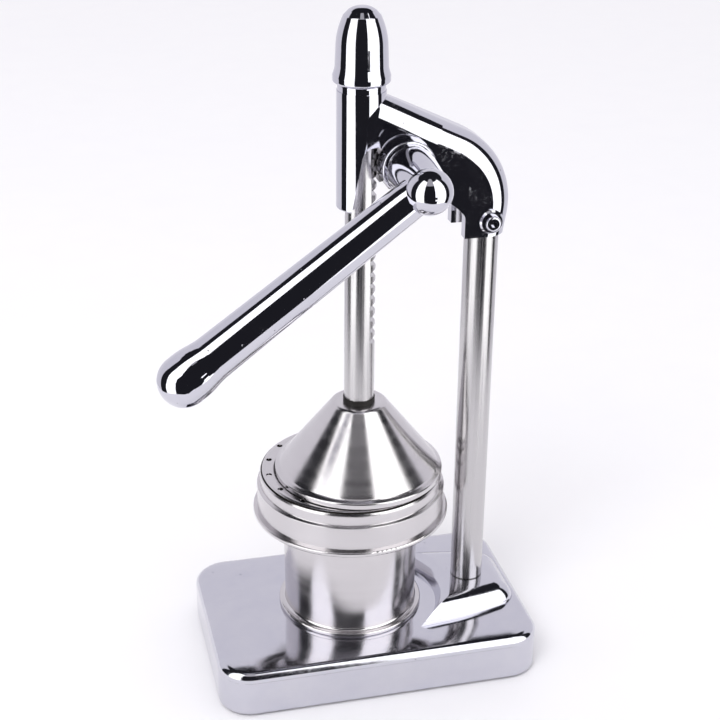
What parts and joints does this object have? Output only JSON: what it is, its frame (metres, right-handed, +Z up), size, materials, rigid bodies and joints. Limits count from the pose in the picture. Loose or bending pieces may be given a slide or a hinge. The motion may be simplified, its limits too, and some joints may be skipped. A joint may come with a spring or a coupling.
{
  "type": "lever citrus press",
  "caption": "Free-standing lever citrus press: a rack rod with a press cone, driven by a lever through a pinion, comes down over a strainer and cup on a heavy base.",
  "frame": {"origin": "on the table, under the middle of the base", "axes": "+X from the rod towards the post, -Y towards the lever's side, +Z up"},
  "size_m": [0.2048, 0.1237, 0.366],
  "materials": {
    "cast_chrome": "cast, polished and chrome plated",
    "turned_steel": "turned and polished steel",
    "spun_steel": "spun stainless sheet, satin",
    "zinc_steel": "zinc plated fasteners",
    "dark_rubber": "moulded dark rubber",
    "bearing_bronze": "sintered bronze"
  },
  "bodies": {
    "stand": {"base_casting": "cast_chrome", "head_casting": "cast_chrome", "guide_bush": "turned_steel", "post_tube": "turned_steel", "post_plug": "zinc_steel", "post_bolt": "zinc_steel", "post_washer": "zinc_steel", "clamp_bolt": "zinc_steel", "clamp_washer": "zinc_steel", "clamp_rear_washer": "zinc_steel", "clamp_nut": "zinc_steel", "shaft_bush_front": "bearing_bronze", "shaft_bush_rear": "bearing_bronze", "foot_screws": "zinc_steel", "foot_front_left": "dark_rubber", "foot_front_right": "dark_rubber", "foot_rear_left": "dark_rubber", "foot_rear_right": "dark_rubber"},
    "lever": {"lever_arm": "cast_chrome", "lever_shaft": "turned_steel", "lever_set_screw": "zinc_steel", "drive_pinion": "turned_steel", "pinion_key": "zinc_steel", "thrust_washer": "turned_steel", "shaft_washer": "zinc_steel", "shaft_clip": "zinc_steel"},
    "press": {"rack_rod": "turned_steel", "top_knob": "cast_chrome", "press_cone": "spun_steel", "cone_seal": "dark_rubber", "cone_washer": "zinc_steel", "cone_nut": "zinc_steel"},
    "cup": {"juice_cup": "spun_steel", "strainer": "spun_steel"}
  },
  "joints": [
    {"name": "lever_turn", "type": "hinge", "parent": "stand", "child": "lever", "pos_m": [0.0172, 0, 0.2895], "axis": [0, 1, 0], "range_deg": [0, 270]},
    {"name": "press_slide", "type": "slide", "parent": "stand", "child": "press", "axis": [0, 0, 1], "range_m": [0, 0.06597]},
    {"name": "cup_slide", "type": "slide", "parent": "stand", "child": "cup", "axis": [-1, 0, 0], "range_m": [0, 0.15]}
  ],
  "couplings": [
    {"joint": "press_slide", "follows": "lever_turn", "m_per_rad": 0.014}
  ]
}
